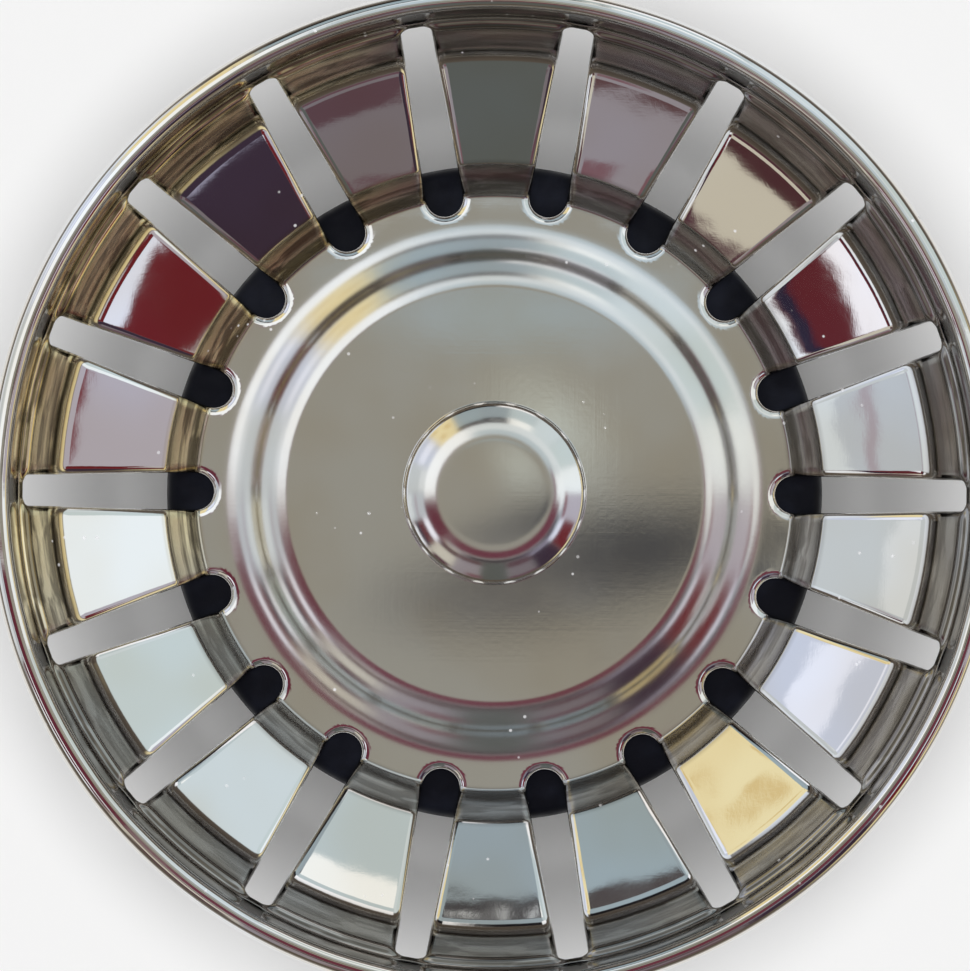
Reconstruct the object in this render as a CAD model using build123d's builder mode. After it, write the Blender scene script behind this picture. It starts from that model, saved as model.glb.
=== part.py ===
from build123d import *
from math import cos, radians, sqrt
import os

os.makedirs("parts", exist_ok=True)

# A lift-out basket strainer for a kitchen sink drain, in millimetres.
# The origin is the middle of the catch barrel's flat foot, and +Z runs up the stem.
# The plug hangs under the basket on one stem. It is drawn pulled up, with the seal
# close under the basket's floor, so that water runs through the slots.

# Fits and gaps
running_fit = 0.05
thread_fit = 0.02
seat_gap = 0.3
overrun = 1.0

# Basket pressed from one sheet. Radii are counted inwards from the rim, and
# heights are counted upwards from the floor, all on the upper side of the sheet.
sheet = 0.5
rim_diameter = 79.3
lip_width = 1.75
lip_round = 0.82
lip_skirt = 1.4
wall_draft = 0.1
wall_rise = 4.9
ledge_width = 0.8
ledge_rise = 0.2
upper_band_run = 1.7
upper_band_rise = 3.5
panel_run = 8.5
panel_rise = 4.4
lower_band_run = 2.3
lower_band_rise = 3.0
floor_width = 3.72
flank_run = 2.53
plateau_rise = 1.4

# Bend radii on the upper side of the sheet
plateau_bend = 5.5
flank_foot_bend = 5.5
floor_edge_bend = 0.5
panel_foot_bend = 0.9
panel_top_bend = 3.4
ledge_bend = 0.7
wall_foot_bend = 0.45

# Slots, tapered outwards, from the floor's edge to the ledge under the rim wall
slot_count = 18
slot_floor_reach = 1.4
slot_ledge_reach = 0.4
slot_inner_width = 3.04
slot_outer_width = 2.44
slot_corner = 0.7

# Seal stack, clamped under the stem's collar
stem_diameter = 5.0
stem_chamfer = 0.4
collar_radius = 4.2
collar_height = 0.8
upper_plate_thickness = 0.8
upper_plate_inset = 3.9
seal_radius = 27.1
seal_thickness = 4.0
seal_recess_depth = 2.4
seal_recess_room = 0.3
seal_top_round = 0.9
seal_bevel = 1.6
lower_plate_radius = 19.0
lower_plate_thickness = 0.8
plate_edge_round = 0.35
lock_washer_overlap = 0.4
lock_washer_thickness = 1.1
lock_washer_split = 0.8
lock_washer_slant = 0.5
jam_nut_wall = 1.5
jam_nut_height = 2.7
nut_chamfer = 0.45

# Catch barrel with two sprung balls in a cross bore
pilot_radius = 4.5
pilot_length = 3.5
pilot_chamfer = 0.5
barrel_radius = 5.5
barrel_cone = 0.6
barrel_land = 1.0
barrel_web = 0.7
barrel_chamfer = 0.4
stem_engagement = 4.3
ball_radius = 2.0
ball_stand_out = 0.7
ball_mouth_share = 0.93
spring_wire = 0.36
spring_radius_share = 0.75
spring_turns = 6
stem_end_gap = 0.2

# Guide bush through the middle of the plateau
grip_section = 0.45
grip_groove_room = 0.05
bush_wall = 0.5
bush_flange_overlap = 1.5
bush_flange_height = 1.0
bush_flange_round = 0.3
bush_washer_thickness = 0.5
bush_washer_overlap = 1.25
bush_nut_wall = 2.0
bush_nut_height = 1.6

# Knob: a pressed cap crimped over a turned core
plug_travel = 5.0
knob_radius = 7.35
knob_sheet = 0.4
knob_height = 3.8
knob_crown_share = 21
knob_crown_turn = 1.5
knob_shoulder_share = 0.96
knob_shoulder_turn = 23.5
knob_rim_round = 0.5
knob_crimp_width = 0.9
core_neck_radius = 3.6
core_neck_height = 0.5
core_disc_height = 0.8
core_disc_round = 0.25
core_boss_radius = 3.8
core_boss_rise = 1.7
core_web = 0.8

# Heights in the seal stack, from the foot up
stem_radius = stem_diameter / 2
jam_nut_width = 2 * (stem_radius + jam_nut_wall)
lock_washer_radius = jam_nut_width / 2 + lock_washer_overlap
ball_bore_radius = ball_radius + running_fit
ball_z = pilot_length + barrel_cone + barrel_land + ball_bore_radius
socket_z = ball_z + ball_bore_radius + barrel_web
barrel_top = socket_z + stem_engagement
lock_washer_z = barrel_top + jam_nut_height
lower_plate_z = lock_washer_z + lock_washer_thickness
seal_z = lower_plate_z + lower_plate_thickness
seal_top_z = seal_z + seal_thickness
upper_plate_z = seal_top_z - seal_recess_depth
collar_z = upper_plate_z + upper_plate_thickness

# Heights of the basket, which hangs a seat gap above the seal
floor_z = seal_top_z + seat_gap + sheet
plateau_z = floor_z + plateau_rise
lower_band_z = floor_z + lower_band_rise
panel_z = lower_band_z + panel_rise
upper_band_z = panel_z + upper_band_rise
ledge_z = upper_band_z + ledge_rise
rim_z = ledge_z + wall_rise

# Radii of the basket, from the rim in
rim_radius = rim_diameter / 2
wall_top_radius = rim_radius - lip_width
wall_foot_radius = wall_top_radius - wall_draft
upper_band_radius = wall_foot_radius - ledge_width
panel_radius = upper_band_radius - upper_band_run
lower_band_radius = panel_radius - panel_run
floor_radius = lower_band_radius - lower_band_run
flank_foot_radius = floor_radius - floor_width
plateau_radius = flank_foot_radius - flank_run
upper_plate_radius = plateau_radius - upper_plate_inset

# Radii of the guide bush, from the stem out
bush_bore_radius = stem_radius + running_fit
grip_groove_radius = bush_bore_radius + 2 * grip_section + grip_groove_room
bush_shank_radius = grip_groove_radius + bush_wall
bush_hole_radius = bush_shank_radius + running_fit
bush_flange_radius = bush_hole_radius + bush_flange_overlap
bush_nut_width = 2 * (bush_shank_radius + bush_nut_wall)
bush_washer_radius = bush_nut_width / 2 + bush_washer_overlap
bush_washer_z = plateau_z - sheet - bush_washer_thickness
bush_nut_z = bush_washer_z - bush_nut_height
bush_top = plateau_z + bush_flange_height

# Heights of the knob, which stops a seat gap above the bush when the plug is down
knob_z = bush_top + plug_travel + seat_gap
crimp_z = knob_z + core_neck_height - knob_sheet
knob_top = crimp_z + knob_height
core_disc_z = knob_z + core_neck_height
core_boss_z = core_disc_z + core_disc_height + core_boss_rise
stem_top = core_boss_z - core_web - stem_end_gap


# A flat ring, such as a washer or a plate, standing on the height z
def ring(z, height, outer_radius, inner_radius):
    with BuildSketch(Plane.XY.offset(z)) as face:
        Circle(outer_radius)
        Circle(inner_radius, mode=Mode.SUBTRACT)
    extrude(face.sketch, amount=height)


# A hexagon nut standing on the height z, its corners turned off at both ends
def hex_nut(z, height, width, bore_radius):
    with BuildSketch(Plane.XY.offset(z)) as hexagon:
        RegularPolygon(width / 2, 6, major_radius=False)
    extrude(hexagon.sketch, amount=height)
    corner_radius = hexagon.vertices().sort_by(Axis.X)[-1].X
    with BuildSketch(Plane.XZ) as turned:
        with BuildLine():
            Polyline(
                (0, z),
                (corner_radius - nut_chamfer, z),
                (corner_radius, z + nut_chamfer / 2),
                (corner_radius, z + height - nut_chamfer / 2),
                (corner_radius - nut_chamfer, z + height),
                (0, z + height),
                close=True,
            )
        make_face()
    revolve(turned.sketch, axis=Axis.Z, mode=Mode.INTERSECT)
    with BuildSketch(Plane.XY.offset(z)) as bore:
        Circle(bore_radius)
    extrude(bore.sketch, amount=height, mode=Mode.SUBTRACT)


# Basket: the upper side of the sheet is drawn from the bush hole to the lip's
# skirt, thickened downwards, and turned about the stem
with BuildPart() as basket:
    with BuildSketch(Plane.XZ):
        with BuildLine():
            FilletPolyline(
                (bush_hole_radius, plateau_z),
                (plateau_radius, plateau_z),
                (flank_foot_radius, floor_z),
                (floor_radius, floor_z),
                (lower_band_radius, lower_band_z),
                (panel_radius, panel_z),
                (upper_band_radius, upper_band_z),
                (wall_foot_radius, ledge_z),
                (wall_top_radius, rim_z),
                (rim_radius, rim_z),
                (rim_radius, rim_z - lip_round - lip_skirt),
                radius=[
                    plateau_bend,
                    flank_foot_bend,
                    floor_edge_bend,
                    panel_foot_bend,
                    panel_top_bend,
                    ledge_bend,
                    wall_foot_bend,
                    lip_round,
                    lip_round,
                ],
            )
            offset(amount=sheet, side=Side.RIGHT)
        make_face()
    revolve(axis=Axis.Z)
    slot_tip_radius = floor_radius - slot_floor_reach
    slot_end_radius = upper_band_radius + slot_ledge_reach
    with BuildSketch(Plane.XY.offset(floor_z - sheet - overrun)):
        with BuildSketch(mode=Mode.PRIVATE) as slot:
            with Locations((slot_tip_radius + slot_inner_width / 2, 0)):
                Circle(slot_inner_width / 2)
            with Locations((slot_end_radius - slot_corner, 0)):
                with GridLocations(0, slot_outer_width - 2 * slot_corner, 1, 2):
                    Circle(slot_corner)
            make_hull()
        with PolarLocations(0, slot_count):
            add(slot.sketch)
    extrude(amount=ledge_z - floor_z + sheet + 2 * overrun, mode=Mode.SUBTRACT)
basket.part.label = "basket"
export_step(basket.part, "parts/basket.step")

# Guide bush: flanged, with an inner groove for the grip ring
with BuildPart() as guide_bush:
    ring(bush_nut_z, plateau_z - bush_nut_z, bush_shank_radius, bush_bore_radius)
    ring(plateau_z, bush_flange_height, bush_flange_radius, bush_bore_radius)
    flange_rim = guide_bush.edges().filter_by(GeomType.CIRCLE).group_by(Axis.Z)[-1]
    fillet(flange_rim.sort_by(SortBy.RADIUS)[-1], bush_flange_round)
    grip_z = (bush_nut_z + plateau_z) / 2
    grip_groove_height = 2 * (grip_section + grip_groove_room)
    with BuildSketch(Plane.XY.offset(grip_z - grip_groove_height / 2)):
        Circle(grip_groove_radius)
        Circle(bush_bore_radius, mode=Mode.SUBTRACT)
    extrude(amount=grip_groove_height, mode=Mode.SUBTRACT)
guide_bush.part.label = "guide_bush"
export_step(guide_bush.part, "parts/guide_bush.step")

# Grip ring: a round rubber ring that holds the stem at the height it is put
with BuildPart() as grip_ring:
    with BuildSketch(Plane.XZ):
        with Locations((bush_bore_radius + grip_section, grip_z)):
            Circle(grip_section)
    revolve(axis=Axis.Z)
grip_ring.part.label = "grip_ring"
export_step(grip_ring.part, "parts/grip_ring.step")

# Bush washer, under the plateau
with BuildPart() as bush_washer:
    ring(
        bush_washer_z,
        bush_washer_thickness,
        bush_washer_radius,
        bush_shank_radius + running_fit,
    )
bush_washer.part.label = "bush_washer"
export_step(bush_washer.part, "parts/bush_washer.step")

# Bush nut, which pulls the bush's flange down on the plateau
with BuildPart() as bush_nut:
    hex_nut(bush_nut_z, bush_nut_height, bush_nut_width, bush_shank_radius + thread_fit)
bush_nut.part.label = "bush_nut"
export_step(bush_nut.part, "parts/bush_nut.step")

# Stem: a turned rod with a collar that the seal stack is clamped against
with BuildPart() as stem:
    with BuildSketch(Plane.XY.offset(socket_z + stem_end_gap)):
        Circle(stem_radius)
    extrude(amount=stem_top - socket_z - stem_end_gap)
    chamfer(stem.edges().filter_by(GeomType.CIRCLE), stem_chamfer)
    with BuildSketch(Plane.XY.offset(collar_z)):
        Circle(collar_radius)
    extrude(amount=collar_height)
stem.part.label = "stem"
export_step(stem.part, "parts/stem.step")

# Upper plate, which clamps the web of the seal inside its recess
with BuildPart() as upper_plate:
    ring(
        upper_plate_z, upper_plate_thickness, upper_plate_radius, stem_radius + thread_fit
    )
    upper_edges = upper_plate.edges().group_by(Axis.Z)[-1]
    fillet(upper_edges.sort_by(SortBy.RADIUS)[-1], plate_edge_round)
upper_plate.part.label = "upper_plate"
export_step(upper_plate.part, "parts/upper_plate.step")

# Seal: a rubber disc, recessed on top for the upper plate and the bush's nut, and
# bevelled underneath where it meets the drain's seat
with BuildPart() as seal:
    ring(seal_z, seal_thickness, seal_radius, stem_radius + thread_fit)
    fillet(seal.edges().group_by(Axis.Z)[-1].sort_by(SortBy.RADIUS)[-1], seal_top_round)
    chamfer(seal.edges().group_by(Axis.Z)[0].sort_by(SortBy.RADIUS)[-1], seal_bevel)
    with BuildSketch(Plane.XY.offset(upper_plate_z)):
        Circle(upper_plate_radius + seal_recess_room)
    extrude(amount=seal_recess_depth, mode=Mode.SUBTRACT)
seal.part.label = "seal"
export_step(seal.part, "parts/seal.step")

# Lower plate, which backs the seal from below
with BuildPart() as lower_plate:
    ring(
        lower_plate_z, lower_plate_thickness, lower_plate_radius, stem_radius + thread_fit
    )
    lower_edges = lower_plate.edges().group_by(Axis.Z)[0]
    fillet(lower_edges.sort_by(SortBy.RADIUS)[-1], plate_edge_round)
lower_plate.part.label = "lower_plate"
export_step(lower_plate.part, "parts/lower_plate.step")

# Lock washer: a split ring, cut through on a slant
with BuildPart() as lock_washer:
    ring(
        lock_washer_z,
        lock_washer_thickness,
        lock_washer_radius,
        stem_radius + running_fit,
    )
    with BuildSketch(Plane.YZ):
        with BuildLine():
            Polyline(
                (-lock_washer_slant, lock_washer_z),
                (lock_washer_split - lock_washer_slant, lock_washer_z),
                (lock_washer_slant, lower_plate_z),
                (lock_washer_slant - lock_washer_split, lower_plate_z),
                close=True,
            )
        make_face()
    extrude(amount=lock_washer_radius + overrun, mode=Mode.SUBTRACT)
lock_washer.part.label = "lock_washer"
export_step(lock_washer.part, "parts/lock_washer.step")

# Jam nut, which clamps the seal stack and locks the barrel
with BuildPart() as jam_nut:
    hex_nut(barrel_top, jam_nut_height, jam_nut_width, stem_radius + thread_fit)
jam_nut.part.label = "jam_nut"
export_step(jam_nut.part, "parts/jam_nut.step")

# Catch barrel: the pilot finds the drain's middle socket, and the staked mouths of
# the cross bore keep the balls in
ball_x = barrel_radius + ball_stand_out - ball_radius
mouth_radius = ball_radius * ball_mouth_share
mouth_x = ball_x + sqrt(ball_radius**2 - (mouth_radius - running_fit) ** 2)
with BuildPart() as catch_barrel:
    with BuildSketch(Plane.XZ):
        with BuildLine():
            Polyline(
                (0, 0),
                (pilot_radius - pilot_chamfer, 0),
                (pilot_radius, pilot_chamfer),
                (pilot_radius, pilot_length),
                (barrel_radius, pilot_length + barrel_cone),
                (barrel_radius, barrel_top - barrel_chamfer),
                (barrel_radius - barrel_chamfer, barrel_top),
                (0, barrel_top),
                close=True,
            )
        make_face()
    revolve(axis=Axis.Z)
    with BuildSketch(Plane.YZ.offset(-mouth_x)):
        with Locations((0, ball_z)):
            Circle(ball_bore_radius)
    extrude(amount=2 * mouth_x, mode=Mode.SUBTRACT)
    with BuildSketch(Plane.YZ.offset(-barrel_radius)):
        with Locations((0, ball_z)):
            Circle(mouth_radius)
    extrude(amount=2 * barrel_radius, mode=Mode.SUBTRACT)
    with BuildSketch(Plane.XY.offset(socket_z)):
        Circle(stem_radius + thread_fit)
    extrude(amount=stem_engagement, mode=Mode.SUBTRACT)
catch_barrel.part.label = "catch_barrel"
export_step(catch_barrel.part, "parts/catch_barrel.step")

# Catch balls, one at each mouth of the cross bore
with BuildPart() as catch_ball_left:
    with Locations((-ball_x, 0, ball_z)):
        Sphere(ball_radius)
catch_ball_left.part.label = "catch_ball_left"
export_step(catch_ball_left.part, "parts/catch_ball_left.step")

with BuildPart() as catch_ball_right:
    with Locations((ball_x, 0, ball_z)):
        Sphere(ball_radius)
catch_ball_right.part.label = "catch_ball_right"
export_step(catch_ball_right.part, "parts/catch_ball_right.step")

# Catch spring, coiled between the balls and resting on their inner sides
with BuildPart() as catch_spring:
    spring_radius = ball_radius * spring_radius_share
    wire_to_ball = ball_radius + spring_wire / 2 + running_fit
    spring_end_x = ball_x - sqrt(wire_to_ball**2 - spring_radius**2)
    spring_length = 2 * spring_end_x
    with BuildLine() as coil:
        Helix(
            spring_length / spring_turns,
            spring_length,
            spring_radius,
            center=(-spring_end_x, 0, ball_z),
            direction=(1, 0, 0),
        )
    with BuildSketch(Plane(origin=coil.line @ 0, z_dir=coil.line % 0)):
        Circle(spring_wire / 2)
    sweep(is_frenet=True)
catch_spring.part.label = "catch_spring"
export_step(catch_spring.part, "parts/catch_spring.step")

# Knob core: turned, threaded on the stem
with BuildPart() as knob_core:
    core_disc_radius = knob_radius - knob_sheet - running_fit
    ring(knob_z, core_neck_height, core_neck_radius, stem_radius + thread_fit)
    ring(core_disc_z, core_disc_height, core_disc_radius, stem_radius + thread_fit)
    disc_rims = knob_core.edges().filter_by(GeomType.CIRCLE).sort_by(SortBy.RADIUS)[-2:]
    fillet(disc_rims, core_disc_round)
    with BuildSketch(Plane.XY.offset(core_disc_z + core_disc_height)):
        Circle(core_boss_radius)
    extrude(amount=core_boss_rise)
    with BuildSketch(Plane.XY.offset(core_disc_z)):
        Circle(stem_radius + thread_fit)
    extrude(amount=core_boss_z - core_web - core_disc_z, mode=Mode.SUBTRACT)
knob_core.part.label = "knob_core"
export_step(knob_core.part, "parts/knob_core.step")

# Knob cap: a pressing with a low dome of three arcs, crimped under the core's disc
with BuildPart() as knob_cap:
    crimp_hole_radius = knob_radius - knob_sheet - knob_crimp_width
    edge_turn = 90 - knob_crown_turn - knob_shoulder_turn
    with BuildSketch(Plane.XZ):
        with BuildLine():
            crown = JernArc(
                (0, knob_top), (1, 0), knob_crown_share * knob_radius, -knob_crown_turn
            )
            shoulder = JernArc(
                crown @ 1,
                crown % 1,
                knob_shoulder_share * knob_radius,
                -knob_shoulder_turn,
            )
            edge_room = knob_radius - (shoulder @ 1).X
            edge_radius = edge_room / (1 - cos(radians(edge_turn)))
            edge = JernArc(shoulder @ 1, shoulder % 1, edge_radius, -edge_turn)
            FilletPolyline(
                edge @ 1,
                (knob_radius, crimp_z),
                (0, crimp_z),
                radius=knob_rim_round,
            )
            mirror(about=Plane.YZ)
        make_face()
        offset(amount=-knob_sheet, mode=Mode.SUBTRACT)
        with Locations((0, crimp_z)):
            Rectangle(2 * crimp_hole_radius, 2 * knob_sheet, mode=Mode.SUBTRACT)
        split(bisect_by=Plane.YZ)
    revolve(axis=Axis.Z)
knob_cap.part.label = "knob_cap"
export_step(knob_cap.part, "parts/knob_cap.step")

print("seal top", round(seal_top_z, 3), "floor", round(floor_z, 3))
print("room over the collar", round(bush_nut_z - collar_z - collar_height, 3))
print("plateau", round(plateau_z, 3), "knob", round(knob_z, 3), round(knob_top, 3))
print("rim", round(rim_z, 3), "radius", round(rim_radius, 3))
print("gap between the spring's turns", round(spring_length / spring_turns - spring_wire, 3))
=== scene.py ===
# %% [markdown]
# # A sink strainer, from the outside in
#
# This notebook dresses a lift-out basket strainer for a kitchen sink. The construction
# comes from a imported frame: every piece already has its place and its size there. Here
# each visible piece gets the mesh and the finish that the real one shows. The frame comes
# first, because all later pieces are measured from it.

# %% Load the frame
import math

import bmesh
import bpy
import numpy as np
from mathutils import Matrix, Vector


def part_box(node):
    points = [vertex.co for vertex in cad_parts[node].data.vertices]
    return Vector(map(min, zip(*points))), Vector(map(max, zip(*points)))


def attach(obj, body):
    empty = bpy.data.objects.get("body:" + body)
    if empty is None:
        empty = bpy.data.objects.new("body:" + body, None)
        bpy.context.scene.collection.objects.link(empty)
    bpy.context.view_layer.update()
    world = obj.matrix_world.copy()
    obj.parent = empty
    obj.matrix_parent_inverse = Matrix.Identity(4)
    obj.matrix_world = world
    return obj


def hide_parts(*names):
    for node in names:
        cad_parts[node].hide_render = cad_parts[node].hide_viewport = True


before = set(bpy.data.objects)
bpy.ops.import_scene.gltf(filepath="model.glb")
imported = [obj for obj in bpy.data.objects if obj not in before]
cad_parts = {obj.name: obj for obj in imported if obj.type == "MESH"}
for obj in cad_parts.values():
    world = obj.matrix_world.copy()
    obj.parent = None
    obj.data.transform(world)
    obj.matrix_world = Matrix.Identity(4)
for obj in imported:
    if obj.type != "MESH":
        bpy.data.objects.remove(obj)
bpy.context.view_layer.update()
mm = 0.001
print("nodes in the frame:", len(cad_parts))

# %% [markdown]
# ## Where the camera stands
#
# The picture looks straight down the stem, so every ring of the basket is a true circle in
# it. The camera stands 300 mm above the rim. The middle of the basket lies a few pixels off
# the middle of the picture, which a small lens shift gives without tilting the camera.

# %% Camera
def add_object(name, data):
    """A new object in the scene, made of a mesh, a lamp or a camera."""
    made = bpy.data.objects.new(name, data)
    bpy.context.scene.collection.objects.link(made)
    return made


picture_width, picture_height = 970, 971
basket_middle = (494.5, 493.0)
rim_radius_in_pixels = 508.0
sensor_size = 36.0
camera_rise = 300 * mm
camera_roll = 0.35

basket_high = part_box("basket")[1]
rim_radius = basket_high.x / mm
rim_z = basket_high.z / mm

camera_data = bpy.data.cameras.new("camera")
camera_data.sensor_fit = "VERTICAL"
camera_data.sensor_height = sensor_size
seen_height = picture_height * rim_radius * mm / rim_radius_in_pixels
camera_data.lens = sensor_size * camera_rise / seen_height
camera_data.shift_x = (picture_width / 2 - basket_middle[0]) / picture_height
camera_data.shift_y = (basket_middle[1] - picture_height / 2) / picture_height
camera_data.clip_start = 10 * mm
camera = add_object("camera", camera_data)
camera.location = (0, 0, rim_z * mm + camera_rise)
camera.rotation_euler.z = math.radians(camera_roll)
bpy.context.scene.camera = camera
print("lens", round(camera_data.lens, 1), "camera height", round(camera.location.z, 3))

# %% [markdown]
# ## Floor and daylight
#
# The strainer stands on its foot on a plain pale floor. A round lamp hangs overhead, so the
# open floor is bright while the floor under the basket lies in soft shade. The world is plain
# and gives the rest of the light, so that a colour renders about as it is written. Further
# out the lamp fades, and there the floor is lifted by as much as the lamp loses.

# %% Floor, world and lamps
def paint(red, green, blue, level=1.0):
    """A colour written as it looks on a screen, 0 to 255, as the renderer wants it."""
    linear = []
    for value in (red, green, blue):
        share = value / 255
        share = share / 12.92 if share < 0.04045 else ((share + 0.055) / 1.055) ** 2.4
        linear.append(level * share)
    return (*linear, 1.0)


def plain_material(name, colour, glow=0.0):
    """A dull material of one colour, or one that glows by itself."""
    material = bpy.data.materials.new(name)
    material.use_nodes = True
    shader = material.node_tree.nodes["Principled BSDF"]
    shader.inputs["Base Color"].default_value = (0, 0, 0, 1) if glow else colour
    shader.inputs["Roughness"].default_value = 0.9
    shader.inputs["Emission Color"].default_value = colour
    shader.inputs["Emission Strength"].default_value = glow
    if glow:
        shader.inputs["Specular IOR Level"].default_value = 0
    return material


def feed(tree, socket, value):
    """Joins another socket to a socket, or sets a number or colour there."""
    if isinstance(value, bpy.types.NodeSocket):
        tree.links.new(value, socket)
    else:
        socket.default_value = value


def join_math(tree, operation, a, b):
    """One step of arithmetic between two sockets or numbers."""
    step = tree.nodes.new("ShaderNodeMath")
    step.operation = operation
    feed(tree, step.inputs[0], a)
    feed(tree, step.inputs[1], b)
    return step.outputs[0]


def seen_directly(tree):
    """A socket that is 1 for rays of the camera, mirrors and clear things, and 0 for others."""
    rays = tree.nodes.new("ShaderNodeLightPath").outputs
    total = rays["Is Camera Ray"]
    for name in ("Is Glossy Ray", "Is Transmission Ray"):
        total = join_math(tree, "MAXIMUM", total, rays[name])
    return total


bpy.context.scene.view_settings.view_transform = "Standard"

lamp_height = 600 * mm
lamp_width = 250 * mm
lamp_level = 0.86
world_level = 0.1
floor_paint = paint(246, 246, 246)
floor_width = 4.0
floor_white = plain_material("floor_white", floor_paint)
half = floor_width / 2
floor_mesh = bpy.data.meshes.new("floor")
floor_corners = [(-half, -half, 0), (half, -half, 0), (half, half, 0), (-half, half, 0)]
floor_mesh.from_pydata(floor_corners, [], [(0, 1, 2, 3)])
floor_mesh.materials.append(floor_white)
add_object("floor", floor_mesh)

lamp_data = bpy.data.lights.new("overhead_lamp", "AREA")
lamp_data.shape = "DISK"
lamp_data.size = lamp_width
lamp_data.energy = lamp_level * math.pi**2 * lamp_height**2 / floor_paint[0]
lamp = add_object("overhead_lamp", lamp_data)
lamp.location = (0, 0, lamp_height)
lamp.visible_glossy = False
lamp.visible_camera = False

world = bpy.data.worlds.new("daylight")
world.use_nodes = True
sky = world.node_tree.nodes["Background"]
sky.inputs["Color"].default_value = (1, 1, 1, 1)
seen = join_math(world.node_tree, "MULTIPLY", seen_directly(world.node_tree), 1 - world_level)
level = join_math(world.node_tree, "ADD", seen, world_level)
world.node_tree.links.new(level, sky.inputs["Strength"])
bpy.context.scene.world = world

floor_tree = floor_white.node_tree
floor_place = floor_tree.nodes.new("ShaderNodeTexCoord").outputs["Object"]
floor_reach = floor_tree.nodes.new("ShaderNodeVectorMath")
floor_reach.operation = "LENGTH"
floor_tree.links.new(floor_place, floor_reach.inputs[0])
slant = join_math(floor_tree, "DIVIDE", floor_reach.outputs["Value"], lamp_height)
slant = join_math(floor_tree, "ADD", join_math(floor_tree, "POWER", slant, 2), 1)
faded = join_math(floor_tree, "SUBTRACT", 1, join_math(floor_tree, "POWER", slant, -2))
lift = join_math(floor_tree, "MULTIPLY", faded, lamp_level)
lift = join_math(floor_tree, "MULTIPLY", lift, seen_directly(floor_tree))
floor_shader = floor_tree.nodes["Principled BSDF"]
floor_shader.inputs["Emission Color"].default_value = (1, 1, 1, 1)
floor_tree.links.new(lift, floor_shader.inputs["Emission Strength"])
print("floor", floor_width, "m wide, lamp", round(lamp_width / mm), "mm wide")

# %% [markdown]
# ## A painted tent for the steel to mirror
#
# Polished steel has hardly any colour of its own: it shows the room. So a round tent stands
# over the strainer, painted from inside with soft patches. It glows dimly, lights nothing,
# and is seen only in reflections. A panel of the bowl mirrors the far side, from 35 degrees
# up at its inner end to 57 at its outer end. The flank and the knob mirror their own side at
# every height, and the flat middle mirrors the top.

# %% Tent brushes
tent_radius = 150 * mm
tent_foot = -6
steel_share = 0.76

tent_heights = np.arange(tent_foot, 90, 0.5)
tent_azimuth, tent_elevation = np.meshgrid(np.arange(360), tent_heights, indexing="ij")
side, up = np.radians(tent_azimuth), np.radians(tent_elevation)
tent_way = np.stack([np.cos(up) * np.cos(side), np.cos(up) * np.sin(side), np.sin(up)], axis=-1)
tent_colour = np.zeros(tent_way.shape)


def lay(weight, colour):
    """Lays a colour on the tent, that looks as written once the steel has mirrored it."""
    mirrored = np.array(paint(*colour, 1 / steel_share)[:3])
    tent_colour[:] = tent_colour + weight[..., None] * (mirrored - tent_colour)


def edge(distance, half, soft):
    """1 inside a patch and 0 outside it, with a soft edge of the given width between."""
    share = np.clip((half + soft / 2 - distance) / soft, 0, 1)
    return share * share * (3 - 2 * share)


def height_band(elevations, soft):
    """1 between two elevations and 0 beyond them."""
    rise = np.abs(tent_elevation - sum(elevations) / 2)
    return edge(rise, (elevations[1] - elevations[0]) / 2, soft)


def patch(azimuths, elevations, colour, soft=(4, 2)):
    """Paints between two azimuths and two elevations, in degrees."""
    wide = (azimuths[1] - azimuths[0]) % 360
    turn = np.abs((tent_azimuth - azimuths[0] - wide / 2 + 180) % 360 - 180)
    lay(edge(turn, wide / 2, soft[0]) * height_band(elevations, soft[1]), colour)


def ring(elevations, colour, soft):
    """Paints all round between two elevations."""
    lay(height_band(elevations, soft), colour)


disc_depth = 14.6 * mm
mirrored_step = 1 + (tent_radius + disc_depth) / (camera_rise + disc_depth)
high_up = np.maximum(tent_way[..., 2], 0.3)
ceiling_x = tent_way[..., 0] / high_up * tent_radius / mm / mirrored_step
ceiling_y = tent_way[..., 1] / high_up * tent_radius / mm / mirrored_step


def ceiling_patch(x, y, wide, high, turn, colour, soft):
    """Paints an ellipse where the flat middle mirrors it, in millimetres from the stem."""
    way = math.radians(turn)
    along = (ceiling_x - x) * math.cos(way) + (ceiling_y - y) * math.sin(way)
    over = (ceiling_y - y) * math.cos(way) - (ceiling_x - x) * math.sin(way)
    lay(edge(np.hypot(along / wide, over / high), 0.5, soft) * (tent_elevation > 60), colour)


print("tent points:", tent_elevation.size)

# %% [markdown]
# ## Paint on the tent
#
# Later paint covers earlier paint: first a wall for each panel of the bowl, then the details
# on it, the low dark part all round, the high part, and the top last. The flat middle shows
# the dark patches of the top as the blurred shadow beside the knob and below it. The small
# light patch falls on the knob's own crown.

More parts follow.
